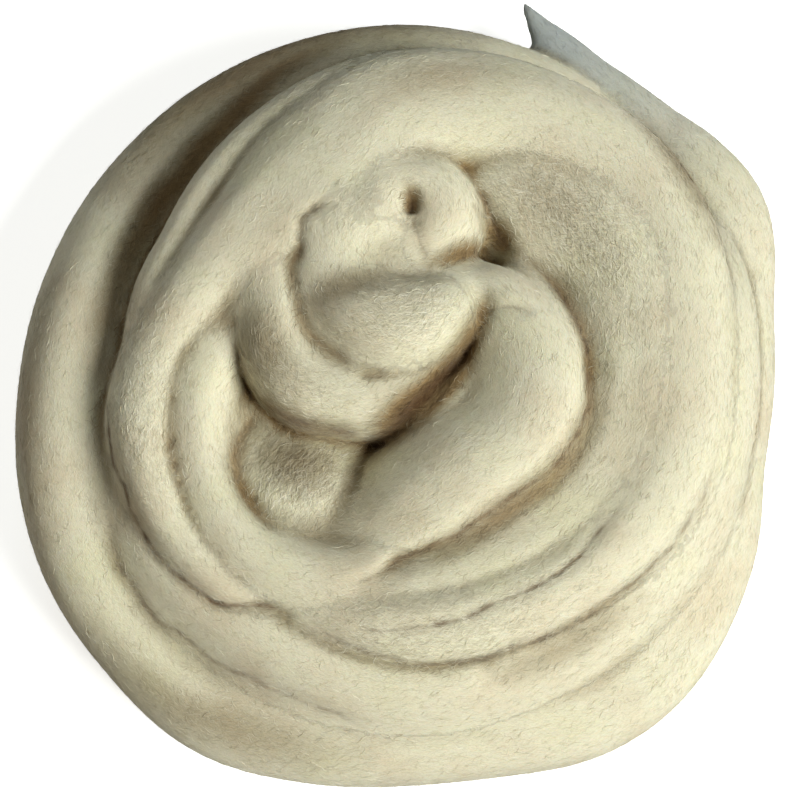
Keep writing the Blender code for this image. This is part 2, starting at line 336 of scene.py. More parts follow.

# Where a fold or a crease is drawn in, and painted dark as the shade in it.
SEAMS = (
    Seam("dimple", ((2, 46), (3, 42), (3, 38)), 2.7, 2.7, 3.4, 0.55),
    Seam("dimple_line", ((3, 38), (4, 33), (6, 28), (8, 24)), 1.3, 1.3, 0.7, 0.35),
    Seam("tongue_side", (
        (26, 12), (24, 5), (22, 0), (19, -5), (15, -9), (10, -15), (5, -19), (1, -24), (-3, -28), (-7, -31),
        (-10, -37),
    ), 2.0, 3.2, 1.8, 0.5),
    Seam("tongue_line", ((-14, -14), (-6, -14), (-1, -14), (4, -13), (10, -10)), 1.8, 1.8, 0.8, 0.35),
    Seam("tongue_tip", ((25, 7), (29, 8), (33, 8), (37, 7), (40, 5)), 1.8, 2.2, 1.0, 0.4),
    Seam("between_folds", (
        (-15, -10), (-20, -6), (-24, -3), (-28, 0), (-31, 5), (-33, 11), (-34, 16), (-34, 21), (-33, 25),
        (-31, 30),
    ), 2.0, 3.0, 0.9, 0.14),
    Seam("head_line", ((-32, 22), (-31, 29), (-31, 36), (-28, 38), (-23, 41)), 1.6, 1.6, 1.3, 0.5),
    Seam("fan_top", (
        (-50, 1), (-50, -4), (-49, -8), (-47, -13), (-44, -17), (-40, -21), (-36, -24), (-31, -26),
        (-25, -27), (-17, -29), (-11, -30), (-4, -30),
    ), 3.2, 1.3, 1.8, 0.6),
    Seam("fan_side", (
        (-43, -19), (-46, -21), (-49, -25), (-51, -29), (-52, -35), (-51, -42), (-47, -50), (-42, -56),
        (-37, -61),
    ), 3.0, 1.5, 0.8, 0.2),
    Seam("curl_side", (
        (-20, -77), (-12, -75), (-6, -72), (-1, -68), (9, -64), (17, -61), (22, -57), (29, -53), (36, -48),
        (41, -45), (47, -40), (51, -34), (54, -29), (57, -21), (57, -14), (57, -8), (57, -3), (55, 4),
        (52, 11), (49, 17), (45, 22), (41, 27), (34, 33),
    ), 2.0, 6.0, 2.4, 0.75),
    Seam("pocket_side", ((36, 31), (32, 35), (29, 40), (27, 46), (23, 50)), 2.0, 1.2, 1.0, 0.7),
    Seam("front_line", (
        (-14, -89), (-6, -90), (4, -89), (12, -88), (20, -86), (27, -82), (33, -80), (40, -77), (47, -73),
        (53, -68), (57, -63), (60, -59), (66, -53),
    ), 2.0, 3.2, 1.0, 0.8),
    Seam("third_line", (
        (-93, -12), (-91, -21), (-90, -31), (-89, -37), (-85, -44), (-83, -51), (-80, -57), (-77, -62),
        (-73, -67), (-69, -71), (-65, -74), (-61, -77), (-57, -80), (-52, -81), (-47, -81), (-42, -81),
        (-38, -82), (-35, -84), (-32, -87),
    ), 2.0, 3.6, 1.3, 0.9),
    Seam("second_line", (
        (-36, -83), (-33, -86), (-25, -89), (-17, -93), (-9, -96), (0, -98), (8, -99), (17, -98), (25, -97),
        (32, -94), (40, -92), (47, -89), (55, -85), (62, -80), (69, -75), (75, -70), (82, -63), (87, -56),
        (92, -48), (97, -34),
    ), 2.0, 4.5, 1.3, 0.6),
    Seam("outer_line", (
        (-91, -52), (-89, -62), (-87, -68), (-83, -73), (-79, -79), (-75, -84), (-69, -87), (-64, -91),
        (-58, -96), (-52, -99), (-47, -101), (-40, -105), (-34, -107), (-27, -110), (-20, -112),
        (-10, -117),
    ), 2.0, 3.2, 0.8, 0.6),
    Seam("inner_turn", (
        (-42, -80), (-48, -75), (-53, -70), (-57, -64), (-61, -59), (-65, -52), (-67, -45), (-70, -38),
        (-70, -33), (-69, -23), (-68, -12),
    ), 2.4, 4.0, 0.7, 0.0),
    Seam("side_groove", (
        (-24, 77), (-36, 66), (-47, 57), (-58, 46), (-65, 35), (-74, 23), (-81, 12),
    ), 4.0, 4.0, 0.6, 0.0),
    Seam("pale_band", ((84, 89), (94, 75), (107, 58), (114, 48), (117, 36), (121, 22)), 2.6, 2.6, 1.0, 0.0),
    Seam("front_trough", ((22, -102), (29, -103), (39, -101), (48, -97), (57, -92)), 5.0, 5.0, 1.8, 0.0),
)
SEAM_LENGTH_SHARE = 0.12  # share of a seam over which its ends fade
SEAM_RANGE = 5.0  # distance from a seam at which it no longer darkens anything
SEAM_FULL = 0.6  # share of that distance within which it darkens in full
SEAM_FLOOR = 20.0  # no seam darkens wool below this height

# Painted shade: where the wool is painted darker and browner than its creases alone make it, on slopes,
# edges and pockets that lie in shade
SHADED = (
    Line("behind_the_third_turn", (
        (-1, 117), (-10, 116), (-18, 114), (-26, 110), (-34, 106), (-43, 99), (-52, 88), (-58, 81),
        (-66, 72), (-71, 63), (-78, 55), (-83, 45), (-87, 37), (-90, 27), (-92, 18), (-94, 9), (-94, -6),
    ), 6.0, 0.72),
    Line("tongue_side", (
        (26, 10), (23, 2), (19, -6), (13, -12), (7, -18), (1, -24), (-4, -28), (-9, -32),
    ), 3.8, 1.0),
    Line("below_the_tongue", ((18, -8), (13, -13), (8, -18), (2, -23), (-4, -28), (-10, -33)), 5.0, 1.0),
    Line("curl_foot", ((23, -3), (20, -10), (16, -15), (11, -20), (6, -25), (0, -30)), 3.2, 0.80),
    Line("fan_top", ((-47, -13), (-44, -18), (-37, -23), (-30, -27), (-20, -29), (-9, -30)), 2.6, 0.55),
    Line("fan_side", ((-44, -19), (-47, -23), (-50, -30), (-51, -38), (-47, -48), (-42, -55)), 4.0, 0.48),
    Line("fan", ((-46, -28), (-38, -34), (-27, -37), (-17, -36)), 9.0, 0.44),
    Line("lower_fold", ((-45, 12), (-44, 0), (-39, -9), (-32, -16)), 8.0, 0.40),
    Line("tongue_root", ((-29, 9), (-22, 12), (-13, 15), (0, 19)), 6.0, 0.42),
    Line("plateau", ((29, 57), (40, 52), (53, 41), (62, 28), (66, 15)), 13.0, 0.17),
    Line("pocket", ((26, 41), (31, 36), (35, 31)), 3.8, 0.85),
    Line("under_the_head", ((9, 22), (16, 25), (23, 29), (29, 34)), 3.2, 0.8),
    Line("beside_the_curl", (
        (62, -10), (60, -18), (57, -27), (52, -37), (44, -46), (35, -52), (25, -59), (13, -66), (1, -70),
    ), 4.5, 0.60),
    Line("dark_band", ((73, 90), (82, 76), (89, 64), (95, 51), (99, 37)), 8.0, 0.56),
    Line("second_line", ((72, -79), (60, -87), (48, -94), (36, -100), (26, -103)), 5.0, 0.30),
    Line("front_left", (
        (-95, -86), (-84, -99), (-68, -110), (-50, -116), (-31, -122), (-13, -124),
    ), 8.0, 0.34),
    Line("back_left", (
        (23, 118), (6, 120), (-14, 120), (-36, 113), (-58, 100), (-78, 84), (-94, 62),
    ), 10.0, 0.60),
    Line("left_edge", (
        (-104, 36), (-114, 21), (-119, 0), (-119, -20), (-117, -36), (-111, -58),
    ), 6.0, 0.28),
    Line("third_turn_back", ((44, 84), (24, 87), (6, 85), (-14, 79)), 10.0, 0.22),
    Line("dimple", ((2, 47), (4, 43), (3, 39)), 2.6, 0.7),
)

# Where the wool is rough, so that its fibres show most
FUZZY = (
    Line("tongue", ((-16, -2), (-4, 2), (8, 5), (18, 5)), 13.0, 0.75),
    Line("fan", ((-44, -34), (-36, -38), (-26, -42), (-18, -46)), 13.0, 1.0),
    Line("plateau", ((20, 56), (40, 50), (53, 40), (63, 26), (68, 8)), 16.0, 0.85),
    Line("lower_fold", ((-45, 10), (-42, -6), (-32, -18), (-16, -22)), 10.0, 0.65),
    Line("left_turns", ((-74, 34), (-80, 4), (-80, -30), (-66, -60)), 14.0, 0.5),
    Line("back_crown", ((20, 104), (-10, 100), (-38, 78), (-60, 52)), 13.0, 0.5),
    Line("front", ((-30, -80), (0, -92), (30, -86), (52, -74)), 14.0, 0.5),
    Line("head", ((-20, 30), (-14, 42), (2, 50)), 10.0, 0.4),
)

# How lines work on the skin
BASE_HEIGHT = 12.0  # the skin is left as it is up to this height, and fully worked above twice this height
CORE_GAIN = 1.6  # weights are raised by this and cut off at 1, so that a line works in full close by
LEAST_SHARE = 0.06  # a line's weight is no less at its very ends than this far along it
UPWARD_GAIN = 2.0  # how the upward part of a normal is raised, and cut off at 1, to weigh a seam's groove
UPPER_START = 8.0  # height at which lines on top begin to paint shade on the wool or to make it rough
UPPER_RISE = 20.0  # how much higher they do so in full

# The relief of the skin: folds along the strand, as (length, width, height) of their noise.
FOLDS = (
    (70.0, 13.0, 1.1),
    (38.0, 6.0, 0.35),
    (22.0, 2.8, 0.10),
)
FOLD_SMOOTHING = 8  # rounds, so that no step shows where one pass gives way to the next
NOISE_SPACING = 13.7  # how far apart the noise of two passes lies

# How creases are found: by how far the skin lies below a smoother copy of itself
NEAR_ROUNDS = 12  # smoothing that takes out narrow creases
FAR_ROUNDS = 90  # further smoothing, which takes out whole grooves
NEAR_DEPTH = 0.7  # depth at which a narrow crease counts in full
FAR_DEPTH = 4.5  # depth at which a groove counts in full
NEAR_SHARE = 0.5
FAR_SHARE = 0.7
HOLLOW_ROUNDS = 2

# How rough the wool is
LEAST_FUZZ = 0.12
HOLLOW_FUZZ = 0.5  # how much rougher the wool is in a crease
PASS_SPACING = 50.0  # how far apart the passes lie in the textures

WISP_LENGTH = 75.0  # how far the loose end stays thin
WISP_START = 1.25  # more than 1, so that the loose end is fully painted grey at first
WISP_ROUNDS = 4


class Fuzz(NamedTuple):
    """A coat of fibres."""

    name: str
    count: int
    points: int  # along each fibre
    step: float  # between those points
    width: float
    lift: float  # above the skin, at the most
    spread: float  # degrees by which fibres stray from the strand, as a standard deviation
    crimp: float  # degrees by which a fibre swings from side to side
    rise: float  # how steeply a fibre leaves the skin


COATS = (
    Fuzz("fibres_lower", 21000, 5, 0.85, 0.17, 0.10, 20, 34, 0.0),
    Fuzz("fibres_middle", 21000, 5, 0.85, 0.15, 0.16, 28, 38, 0.0),
    Fuzz("fibres_upper", 21000, 5, 0.85, 0.12, 0.24, 36, 42, 0.0),
    Fuzz("flyaways", 9000, 6, 0.8, 0.05, 0.5, 34, 34, 0.3),
)
SMOOTH_SHARE = 0.05  # how thickly fibres lie where the wool is smooth, against 1.05 where it is roughest
SMOOTH_TILT = 0.22  # how far fibres are turned out of the skin where it is smooth, as a standard deviation
ROUGH_TILT = 0.6  # how much more they are where it is roughest
BARE_BASE = 1.0  # fibres start above this height
FIBRE_FLOOR = 0.05  # no fibre goes below this height

# How fibres of a coat differ, as the least and the most
SWINGS = (0.4, 1.0)  # times the crimp
PACES = (1.1, 2.1)  # radians of a swing from one point to the next
STEPS = (0.75, 1.25)  # times the step
LIFTS = (0.1, 1.0)  # times the lift
RISES = (0.6, 1.4)  # times the rise
WIDTHS = (0.6, 1.3)  # times the width
LEAST_HUMP = 0.15  # share of its lift that a fibre has at its ends
RISE_LOSS = 0.35  # share of its rise that a flyaway loses by its end
TAPER_START = 0.03  # share of a half wave that the width skips at each end, so that no end has a width of 0

# Colours, as linear red, green and blue
LIGHT_CREAM = (0.79, 0.755, 0.575, 1.0)
CREAM = (0.74, 0.70, 0.52, 1.0)
DEEP_CREAM = (0.64, 0.595, 0.425, 1.0)
DARK_FIBRE = (0.44, 0.40, 0.28, 1.0)
PALE_FIBRE = (0.95, 0.93, 0.79, 1.0)
# Painted shade: the grey that the thin loose end is painted
WISP_SHADE_GREY = (0.37, 0.41, 0.415, 1.0)
FLOOR_WHITE = (0.92, 0.92, 0.90, 1.0)
WHITE = (1.0, 1.0, 1.0, 1.0)
BLACK = (0.0, 0.0, 0.0, 1.0)

# Painted shade: what the colours are multiplied by, from a crown to the bottom of a crease, where shade
# falls, and the dark brown painted on a seam as the shade in its crease
PAINTED_CREASE_SHADE = (
    (0.06, WHITE),
    (0.35, (0.61, 0.57, 0.51, 1.0)),
    (0.68, (0.36, 0.265, 0.165, 1.0)),
    (1.00, (0.10, 0.05, 0.02, 1.0)),
)
SEAM_SHADE = (0.16, 0.10, 0.05, 1.0)
SPECK_TINTS = (
    (0.42, (0.50, 0.47, 0.42, 1.0)),
    (0.56, WHITE),
    (0.72, (1.38, 1.38, 1.40, 1.0)),
)
SPECK_TURNS = (28.0, -36.0)  # degrees between the strand and each layer of specks
SPECK_SIZE = (2.4, 0.34, 1.0)  # length and width of a speck
STREAK_SIZE = (3.2, 0.42, 1.0)  # length and width of a streak
FINE_SIZE = (0.9, 0.30, 1.0)
FINE_SHARE = 0.7  # of the fine streaks in the mix of both
STREAK_STOPS = (
    (0.34, DEEP_CREAM),
    (0.50, CREAM),
    (0.66, LIGHT_CREAM),
)
SMOOTH_STOPS = (
    (0.0, DEEP_CREAM),
    (0.4, CREAM),
    (1.0, LIGHT_CREAM),
)
ROUGH_STOPS = (
    (0.0, DARK_FIBRE),
    (0.4, CREAM),
    (1.0, PALE_FIBRE),
)
PATCH_SIZE = 30.0  # of the broad patches that are a little pinker or yellower
PATCH_TINTS = (
    (0.32, (0.93, 0.88, 0.85, 1.0)),
    (0.50, WHITE),
    (0.68, (0.99, 1.0, 0.94, 1.0)),
)
BREAK_SIZE = 7.0  # of the stretches over which a seam's darkness comes and goes
BREAK_STOPS = (
    (0.38, (0.35, 0.35, 0.35, 1.0)),
    (0.60, WHITE),
)
WISP_STOPS = (
    (0.0, BLACK),
    (1.0, (0.85, 0.85, 0.85, 1.0)),
)
GRAIN_RELIEF = 0.24  # height of the finest relief
SEAM_RELIEF = 0.45  # depth of the finest line of a dark seam
SEAM_REACH = 3.0  # distance from a seam at which its darkness has faded
SEAM_STOPS = (
    (0.00, WHITE),
    (0.10, (0.85, 0.85, 0.85, 1.0)),
    (0.28, (0.30, 0.30, 0.30, 1.0)),
    (0.90, BLACK),
)

# How wool takes the light: it is dull, lets light in and has a soft sheen
WOOL_SHADER = {
    "Roughness": 0.92,
    "Specular IOR Level": 0.25,
    "Subsurface Weight": 0.22,
    "Subsurface Radius": (1.0, 0.62, 0.34),
    "Subsurface Scale": 2.5 * MM,
    "Sheen Weight": 0.18,
    "Sheen Roughness": 0.45,
    "Sheen Tint": (1.0, 0.98, 0.90, 1.0),
}
FIBRE_SHADER = WOOL_SHADER | {"Subsurface Weight": 0.0}
FLOOR_SHADER = {
    "Base Color": FLOOR_WHITE,
    "Roughness": 0.9,
    "Emission Color": FLOOR_WHITE,
    "Emission Strength": 0.78,
}

# The camera and the light, in metres
CAMERA_TARGET = (-0.0005, -0.0077, 0.020)
CAMERA_DISTANCE = 0.65
CAMERA_ELEVATION = 75.0
SENSOR = 36.0
PICTURE_SIDE = 800
METRES_PER_PIXEL = 0.000328


class Lamp(NamedTuple):
    """A soft square lamp that faces the heap."""

    name: str
    place: tuple
    size: float
    energy: float
    colour: tuple


LAMPS = (
    Lamp("key", (2.11, -1.37, 1.97), 1.3, 132.0, (0.985, 1.0, 0.97)),
    Lamp("fill", (-2.27, -0.82, 0.97), 1.2, 9.0, (1.0, 0.92, 0.80)),
    Lamp("back", (-0.37, 2.10, 1.50), 1.2, 13.0, (0.78, 0.90, 1.0)),
)
SKY_COLOUR = (1.0, 0.91, 0.78, 1.0)
SKY_STRENGTH = 0.085
FLOOR_REACH = 3.0


class Tube(NamedTuple):
    """The rings of a pass."""

    middle: np.ndarray
    ahead: np.ndarray
    side: np.ndarray  # half the width, towards the outer edge
    top: np.ndarray  # half the thickness, upwards
    along: np.ndarray  # length from the start of the pass


class Skin(NamedTuple):
    """The fused skin of the heap, and where each of its points lies on the strand."""

    points: np.ndarray
    quads: np.ndarray
    normals: np.ndarray
    ahead: np.ndarray
    strand: np.ndarray  # length along the strand, length round it, and a number for the pass
    hollow_shade: np.ndarray  # from 0 on a crown to 1 in a crease or on a SHADED line; it sets how dark the painted shade is, and how rough the wool is
    seam: np.ndarray  # the way from the nearest seam, seen from above, and how dark that seam is
    fuzz: np.ndarray  # from 0 where the wool is smooth to 1 where its fibres show most
    wisp: np.ndarray  # 1 at the loose end, which is thin and painted grey as shade, and 0 where the strand is full


def unit(vectors):
    """The same directions with a length of 1."""
    return vectors / np.maximum(np.linalg.norm(vectors, axis=-1, keepdims=True), TINY)


# The sweep


def middles_of(strand_pass, rows):
    """The middles of sections, given as an array of table rows."""
    angle = np.radians(DEGREES_PER_HOUR * rows[:, 0])
    right, back = strand_pass.centre
    return np.column_stack((
        right + rows[:, 1] * np.sin(angle),
        back + rows[:, 1] * np.cos(angle),
        rows[:, 2],
    ))


def spline(before, start, end, after, share):
    """Smooth rows between start and end, by the rows on either side of them."""
    linear = end - before
    square = 2 * before - 5 * start + 4 * end - after
    cube = 3 * start - before - 3 * end + after
    return start + (linear * share + square * share**2 + cube * share**3) / 2


def stations(strand_pass):
    """Table rows about a STATION_STEP apart, from a smooth curve through the table of a pass."""
    rows = np.array(strand_pass.sections, float)
    spans = np.linalg.norm(np.diff(middles_of(strand_pass, rows), axis=0), axis=1)
    padded = np.vstack((rows[:1], rows, rows[-1:]))
    found = []
    for i, span in enumerate(spans):
        count = max(1, round(span / STATION_STEP))
        share = np.arange(count)[:, None] / count
        found.append(spline(*padded[i:i + 4], share))
    return np.vstack(found + [rows[-1:]])


def tube_of(strand_pass):
    """The rings of a pass, each square to the way ahead and leaning as its table says."""
    rows = stations(strand_pass)
    middle = middles_of(strand_pass, rows)
    ahead = unit(np.gradient(middle, axis=0))
    outward = unit(np.cross(ahead, UP))
    arm = middle - np.array((*strand_pass.centre, 0.0))
    turned = np.sum(outward[:, :2] * arm[:, :2], axis=1) < 0
    outward[turned] *= -1
    up = unit(np.cross(outward, ahead))
    up[up[:, 2] < 0] *= -1
    lean = np.radians(rows[:, 5])[:, None]
    side = (outward * np.cos(lean) + up * np.sin(lean)) * rows[:, 3:4] / 2
    top = (up * np.cos(lean) - outward * np.sin(lean)) * rows[:, 4:5] / 2
    steps = np.linalg.norm(np.diff(middle, axis=0), axis=1)
    along = np.concatenate(([0.0], np.cumsum(steps)))
    return Tube(middle, ahead, side, top, along)


def rounded(tube):
    """The rings of a tube with the rings that round off its two ends."""
    angles = math.pi / 2 * END_SHARE * np.arange(1, END_RINGS + 1) / END_RINGS
    parts = [[], [], []]
    for end, sense in ((0, -1), (-1, 1)):
        depth = min(np.linalg.norm(tube.side[end]), np.linalg.norm(tube.top[end]))
        order = angles[::-1] if sense < 0 else angles
        middle = tube.middle[end] + tube.ahead[end] * sense * depth * np.sin(order)[:, None]
        shrink = np.cos(order)[:, None]
        parts[0].append(middle)
        parts[1].append(tube.side[end] * shrink)
        parts[2].append(tube.top[end] * shrink)
    whole = (tube.middle, tube.side, tube.top)
    return [np.vstack((part[0], inner, part[1])) for part, inner in zip(parts, whole)]


def ring_points(middle, side, top):
    """The points round each ring, as an array of rings by sides by 3."""
    angle = 2 * math.pi * np.arange(SECTION_SIDES) / SECTION_SIDES
    power = 2 / SECTION_POWER
    across = np.sign(np.cos(angle)) * np.abs(np.cos(angle)) ** power
    through = np.sign(np.sin(angle)) * np.abs(np.sin(angle)) ** power
    return middle[:, None] + side[:, None] * across[None, :, None] + top[:, None] * through[None, :, None]


def tube_quads(rings):
    """The quads between rings, as numbers of their points."""
    ring = np.arange(rings - 1)[:, None] * SECTION_SIDES
    here = np.arange(SECTION_SIDES)
    after = (here + 1) % SECTION_SIDES
    corners = (ring + here, ring + after, ring + SECTION_SIDES + after, ring + SECTION_SIDES + here)
    return np.stack(corners, axis=-1).reshape(-1, 4)


def swept_mesh(tubes):
    """One mesh of all tubes, each a closed skin of its own."""
    points, faces, first = [], [], 0
    for tube in tubes:
        rings = ring_points(*rounded(tube))
        count = rings.shape[0] * SECTION_SIDES
        points.append(rings.reshape(-1, 3))
        faces.extend((tube_quads(rings.shape[0]) + first).tolist())
        faces.append(list(range(first, first + SECTION_SIDES))[::-1])
        faces.append(list(range(first + count - SECTION_SIDES, first + count)))
        first += count
    mesh = bpy.data.meshes.new("swept")
    mesh.from_pydata((np.vstack(points) * MM).tolist(), [], faces)
    return mesh


# The skin


def remeshed(mesh):
    """The tubes fused into one mesh of even quads."""
    holder = bpy.data.objects.new("swept", mesh)
    bpy.context.scene.collection.objects.link(holder)
    fuse = holder.modifiers.new("fuse", "REMESH")
    fuse.mode = "VOXEL"
    fuse.voxel_size = SKIN_GRAIN * MM
    evaluated = holder.evaluated_get(bpy.context.evaluated_depsgraph_get())
    result = bpy.data.meshes.new_from_object(evaluated)
    bpy.data.objects.remove(holder)
    return result


def drop_pockets(mesh):
    """Removes the skins of air pockets between the turns."""
    bm = bmesh.new()
    bm.from_mesh(mesh)
    pieces = []
    unseen = set(bm.verts)
    while unseen:
        start = unseen.pop()
        piece = {start}
        front = [start]
        while front:
            vert = front.pop()
            fresh = {edge.other_vert(vert) for edge in vert.link_edges} - piece
            piece |= fresh
            front.extend(fresh)
        unseen -= piece
        pieces.append(piece)
    outer = max(pieces, key=len)
    inner = [vert for piece in pieces if piece is not outer for vert in piece]
    bmesh.ops.delete(bm, geom=inner, context="VERTS")
    bm.to_mesh(mesh)
    bm.free()


def arrays_of(mesh):
    """The points, in millimetres, the quads and the edges of a mesh."""
    points = np.empty(len(mesh.vertices) * 3, np.float32)
    mesh.vertices.foreach_get("co", points)
    quads = np.empty(len(mesh.polygons) * 4, np.int32)
    mesh.polygons.foreach_get("vertices", quads)
    edges = np.empty(len(mesh.edges) * 2, np.int32)
    mesh.edges.foreach_get("vertices", edges)
    return points.reshape(-1, 3).astype(float) / MM, quads.reshape(-1, 4), edges.reshape(-1, 2)


def sums_at(numbers, values, count):
    """The sum of the rows of values that belong to each number."""
    return np.column_stack([np.bincount(numbers, column, count) for column in values.T])


def neighbour_means(points, edges):
    """The mean place of each point's neighbours."""
    count = len(points)
    first, second = edges.T
    total = sums_at(first, points[second], count) + sums_at(second, points[first], count)
    return total / np.bincount(edges.ravel(), minlength=count)[:, None]


def smoothed(points, edges, rounds, weight=None):
    """The points moved towards their neighbours, round after round."""
    share = 0.5 if weight is None else 0.5 * weight[:, None]
    for _ in range(rounds):
        points = points + (neighbour_means(points, edges) - points) * share
    return points


def point_normals(points, quads):
    """The direction in which the skin faces at each point."""
    corners = points[quads]
    facing = np.cross(corners[:, 2] - corners[:, 0], corners[:, 3] - corners[:, 1])
    total = np.zeros_like(points)
    for k in range(4):
        total += sums_at(quads[:, k], facing, len(points))
    return unit(total)


def nearest_on(points, places):
    """The nearest place on a line to each point, seen from above.

    Gives the way from that place to the point, the distance, whether the point is on the right of the line,
    and how far along the line the place is, from 0 to 1.
    """
    places = np.array(places, float)
    spans = np.linalg.norm(np.diff(places, axis=0), axis=1)
    away = np.zeros((len(points), 2))
    nearest = np.full(len(points), np.inf)
    on_right = np.zeros(len(points), bool)
    share = np.zeros(len(points))
    passed = 0.0
    for start, end, span in zip(places, places[1:], spans):
        ahead = (end - start) / span
        offset = points[:, :2] - start
        reached = np.clip(offset @ ahead, 0, span)
        way = offset - reached[:, None] * ahead
        distance = np.linalg.norm(way, axis=1)
        closer = distance < nearest
        nearest[closer] = distance[closer]
        away[closer] = way[closer]
        on_right[closer] = (ahead[1] * way[:, 0] - ahead[0] * way[:, 1])[closer] > 0
        share[closer] = (passed + reached[closer]) / spans.sum()
        passed += span
    return away, nearest, on_right, share


def line_weight(points, line):
    """How near each point is to a line, from 0 to 1, fading out towards the ends of the line."""
    _, distance, _, share = nearest_on(points, line.places)
    fade = np.sqrt(np.sin(math.pi * np.clip(share, LEAST_SHARE, 1 - LEAST_SHARE)))
    return np.exp(-(distance / line.width) ** 2) * fade


def core_weight(points, line):
    """The same, but 1 close to the line."""
    return np.clip(line_weight(points, line) * CORE_GAIN, 0, 1)


def ends_faded(share):
    """From 0 at the ends of a seam to 1 along most of it."""
    return np.clip(np.minimum(share, 1 - share) / SEAM_LENGTH_SHARE, 0, 1)


def groove(points, seam):
    """How deep a seam draws the skin in at each point."""
    _, distance, on_right, share = nearest_on(points, seam.places)
    width = np.where(on_right, seam.right, seam.left)
    return seam.depth * np.exp(-(distance / width) ** 2) * ends_faded(share)


def is_near(points, places):
    """Whether each point lies in the box round a line, with SEAM_RANGE to spare."""
    flat = points[:, :2]
    low = np.min(places, axis=0) - SEAM_RANGE
    high = np.max(places, axis=0) + SEAM_RANGE
    return ((flat > low) & (flat < high)).all(axis=1)


def seam_field(points):
    """The way from the nearest dark seam to each point, seen from above, and how dark that seam's painted
    shade is.
    """
    field = np.zeros((len(points), 3))
    nearest = np.full(len(points), np.inf)
    high = points[:, 2] > SEAM_FLOOR
    for seam in SEAMS:
        if not seam.painted_shade:
            continue
        rows = np.flatnonzero(high & is_near(points, seam.places))
        away, distance, _, share = nearest_on(points[rows], seam.places)
        closer = distance < nearest[rows]
        nearest[rows[closer]] = distance[closer]
        fading = np.clip((1 - distance / SEAM_RANGE) / (1 - SEAM_FULL), 0, 1)
        painted_shade = seam.painted_shade * ends_faded(share) * fading
        field[rows[closer]] = np.column_stack((away, painted_shade))[closer]
    return field


def settle(points, quads, edges):
    """Fills the skin along FILLED, softens it along SOFTENED and draws it in along SEAMS."""
    above = np.clip(points[:, 2] / BASE_HEIGHT - 1, 0, 1)
    for line in FILLED:
        weight = core_weight(points, line) * above
        missing = np.clip(line.amount - points[:, 2], 0, None)
        points = points + UP * (missing * weight)[:, None]
    for line in SOFTENED:
        weight = core_weight(points, line) * above
        points = smoothed(points, edges, line.amount, weight)
    normals = point_normals(points, quads)
    upward = np.clip(normals[:, 2] * UPWARD_GAIN, 0, 1) * above
    for seam in SEAMS:
        points = points - UP * (groove(points, seam) * upward)[:, None]
    return points


def strand_map(tubes, points):
    """Where points lie on the strand: the way ahead, the place along and round it, and the pass."""
    rings = np.vstack([ring_points(tube.middle, tube.side, tube.top).reshape(-1, 3) for tube in tubes])
    tree = KDTree(len(rings))
    for i, place in enumerate(rings.tolist()):
        tree.insert(place, i)
    tree.balance()
    ring = np.array([tree.find(place)[1] for place in points.tolist()]) // SECTION_SIDES
    middle, ahead, side, top, along = (
        np.concatenate([getattr(tube, name) for tube in tubes]) for name in Tube._fields
    )
    number = np.concatenate([np.full(len(tube.along), float(i)) for i, tube in enumerate(tubes)])
    offset = points - middle[ring]
    half_width = np.linalg.norm(side[ring], axis=1)
    half_thick = np.linalg.norm(top[ring], axis=1)
    outward = np.sum(offset * side[ring], axis=1) / half_width**2
    upward = np.sum(offset * top[ring], axis=1) / half_thick**2
    angle = np.arctan2(upward, outward)
    length = along[ring] + np.sum(offset * ahead[ring], axis=1)
    radius = (half_width + half_thick) / 2
    return ahead[ring], length, angle, radius, number[ring]


def fold_relief(length, angle, radius, number):
    """The height of the folds that run along the strand."""
    height = np.zeros(len(length))
    for span, width, amount in FOLDS:
        places = np.column_stack((
            length / span + NOISE_SPACING * number,
            radius * np.cos(angle) / width,
            radius * np.sin(angle) / width + span,
        ))
        height += amount * np.array([noise.noise(place) for place in places.tolist()])
    return height


def hollows(points, quads, edges):
    """How deep in a crease each point lies, from 0 to 1."""
    normals = point_normals(points, quads)
    near = smoothed(points, edges, NEAR_ROUNDS)
    far = smoothed(near, edges, FAR_ROUNDS)
    fine = np.clip(np.sum((near - points) * normals, axis=1) / NEAR_DEPTH, 0, 1)
    broad = np.clip(np.sum((far - points) * normals, axis=1) / FAR_DEPTH, 0, 1)
    depth = fine * NEAR_SHARE + broad * FAR_SHARE
    return np.clip(smoothed(depth[:, None], edges, HOLLOW_ROUNDS)[:, 0], 0, 1)


def raised(values, lines, points):
    """The values, raised along lines on top of the heap."""
    upper = np.clip((points[:, 2] - UPPER_START) / UPPER_RISE, 0, 1)
    for line in lines:
        values = np.maximum(values, line.amount * line_weight(points, line) * upper)
    return values


def in_row_frame(points):
    """The points moved to where the model's box has its middle, and the height of the base."""
    low, high = (np.array(corner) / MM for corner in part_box(NODE))
    middle = (points.min(axis=0) + points.max(axis=0)) / 2
    shift = (low + high) / 2 - middle
    shift[2] = low[2] - PRESSED
    return points + shift, low[2]


def wispiness(length, number, edges):
    """1 at the loose end of the first pass, fading out along it."""
    wisp = np.clip(WISP_START - length / WISP_LENGTH, 0, 1) * (number == 0)
    return smoothed(wisp[:, None], edges, WISP_ROUNDS)[:, 0]


